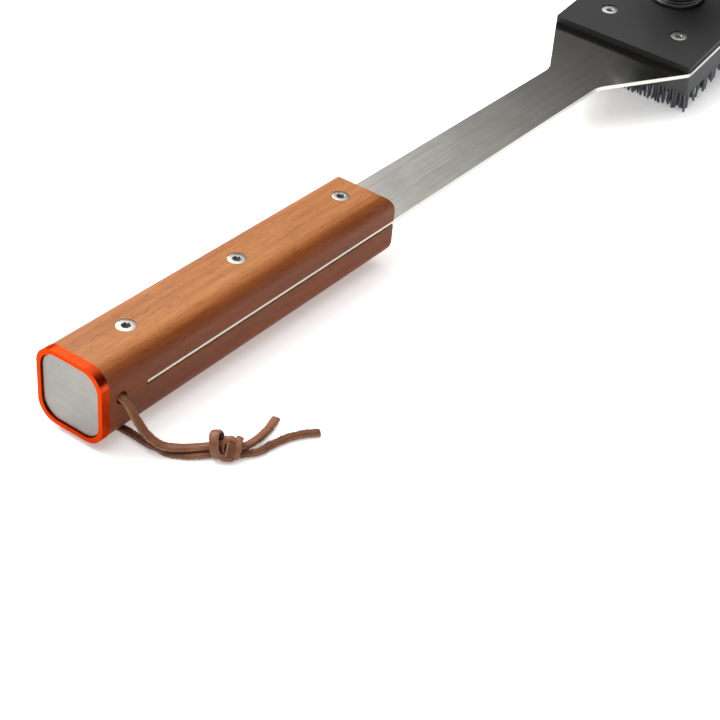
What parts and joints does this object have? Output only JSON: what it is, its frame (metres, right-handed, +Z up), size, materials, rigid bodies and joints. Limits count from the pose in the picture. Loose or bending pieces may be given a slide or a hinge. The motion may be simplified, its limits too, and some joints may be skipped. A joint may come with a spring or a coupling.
{
  "type": "grill cleaning brush",
  "caption": "Long-handled grill cleaning brush: wooden handle on a steel blade, bent head with rows of stiff bristles, a palm knob and a leather hanging thong.",
  "frame": {"origin": "middle of the base: the point on the table under the centre of the object's box, thong left out", "axes": "+X from the end cap to the head, +Y across to the side away from the loose thong ends, +Z up from the table"},
  "size_m": [0.5396, 0.1079, 0.0782],
  "materials": {
    "handle_wood": "satin oiled hardwood, reddish brown, grain along the handle",
    "orange_anodised": "orange anodised, satin",
    "badge_steel": "brushed, blank",
    "dark_steel": "black oxide",
    "screw_steel": "turned stainless steel, satin",
    "blade_steel": "stainless steel, brushed lengthwise",
    "cover_black": "black powder coat, finely textured",
    "insert_brass": "turned brass",
    "block_black": "moulded, matte",
    "bristle_nylon": "dark grey-blue stiff filaments",
    "washer_black": "turned and blackened, satin",
    "knob_black": "black phenolic, semi-gloss",
    "thong_leather": "brown, smooth grain side",
    "thong_suede": "brown, rough flesh side, frayed"
  },
  "bodies": {
    "brush": {"handle_grip": "handle_wood", "end_cap": "orange_anodised", "cap_badge": "badge_steel", "cap_screws": "dark_steel", "handle_screws": "screw_steel", "barrel_nuts": "screw_steel", "blade": "blade_steel", "cover_plate": "cover_black", "head_screws": "screw_steel", "screw_inserts": "insert_brass", "brush_block": "block_black", "bristle_row_1": "bristle_nylon", "bristle_row_2": "bristle_nylon", "bristle_row_3": "bristle_nylon", "bristle_row_4": "bristle_nylon", "bristle_row_5": "bristle_nylon", "bristle_row_6": "bristle_nylon", "bristle_row_7": "bristle_nylon", "bristle_row_8": "bristle_nylon", "bristle_row_9": "bristle_nylon", "bristle_row_10": "bristle_nylon", "bristle_row_11": "bristle_nylon", "palm_stud": "screw_steel", "lanyard_near": "thong_leather", "lanyard_far": "thong_leather", "lanyard_knot": "thong_leather", "lanyard_tail_a": "thong_leather", "lanyard_tail_b": "thong_suede"},
    "washer": {"swivel_washer": "washer_black"},
    "knob": {"palm_knob": "knob_black", "knob_insert": "insert_brass"}
  },
  "joints": [
    {"name": "knob_lift", "type": "slide", "parent": "brush", "child": "washer", "axis": [-0.1673, 0, 0.9859], "range_m": [0, 0.00625]},
    {"name": "knob_turn", "type": "hinge", "parent": "washer", "child": "knob", "pos_m": [0.2023, 0, 0.04225], "axis": [-0.1673, 0, 0.9859], "range_deg": [0, 1800]}
  ],
  "couplings": [
    {"joint": "knob_turn", "follows": "knob_lift", "rad_per_m": 5026.5}
  ]
}
